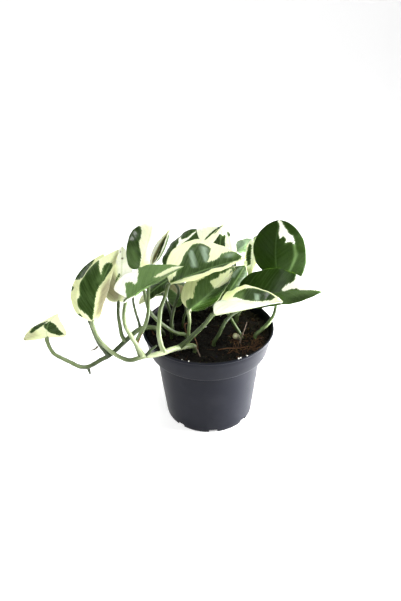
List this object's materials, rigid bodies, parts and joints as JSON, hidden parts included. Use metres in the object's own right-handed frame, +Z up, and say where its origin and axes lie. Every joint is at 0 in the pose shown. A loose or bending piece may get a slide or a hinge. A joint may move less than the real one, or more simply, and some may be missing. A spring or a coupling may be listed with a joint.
{
  "type": "potted variegated pothos plant",
  "caption": "Variegated trailing pothos in a round collared nursery pot of soil, with two vines hanging over the rim and a bushy crown of heart-shaped leaves.",
  "frame": {"origin": "middle of the pot's flat underside", "axes": "+Z up along the pot's axis, +X to the right as seen from the front, -Y to the front; the long vine trails towards -X"},
  "size_m": [0.2733, 0.1516, 0.1897],
  "materials": {
    "pot_plastic": "satin slate-grey moulded plastic",
    "soil": "dark, damp, fibrous peat soil",
    "stem": "smooth, softly glossy living stem",
    "leaf_green": "glossy dark green blade with cream patches",
    "leaf_cream": "glossy cream blade with green patches"
  },
  "bodies": {
    "root": {"pot": "pot_plastic", "soil": "soil", "vine_left": "stem", "vine_front": "stem", "stalk_top_left": "stem", "stalk_centre_low": "stem", "stalk_top_slanted": "stem", "stalk_under_left": "stem", "stalk_under_small": "stem", "stalk_right_long": "stem", "stalk_centre_shade": "stem", "stalk_right_tall": "stem", "shoot_rear_left": "stem", "shoot_rear_middle": "stem", "shoot_rear_right": "stem", "leaf_vine_end": "leaf_green", "leaf_left_front": "leaf_green", "leaf_left_rear": "leaf_green", "leaf_left_cream": "leaf_cream", "leaf_left_pale": "leaf_cream", "leaf_top_left": "leaf_green", "leaf_top_folded": "leaf_cream", "leaf_top_slanted": "leaf_green", "leaf_centre": "leaf_green", "leaf_centre_low": "leaf_green", "leaf_centre_shade": "leaf_green", "leaf_right_white": "leaf_cream", "leaf_right_long": "leaf_green", "leaf_right_tall": "leaf_green", "leaf_back_folded": "leaf_cream", "leaf_back_dark": "leaf_green", "leaf_back_cream": "leaf_cream", "leaf_back_grey": "leaf_green", "leaf_back_narrow": "leaf_cream", "leaf_under_left": "leaf_green", "leaf_under_small": "leaf_green", "leaf_rear_left": "leaf_green", "leaf_rear_middle": "leaf_green", "leaf_rear_right": "leaf_cream", "leaf_rear_inner": "leaf_green"}
  },
  "joints": []
}
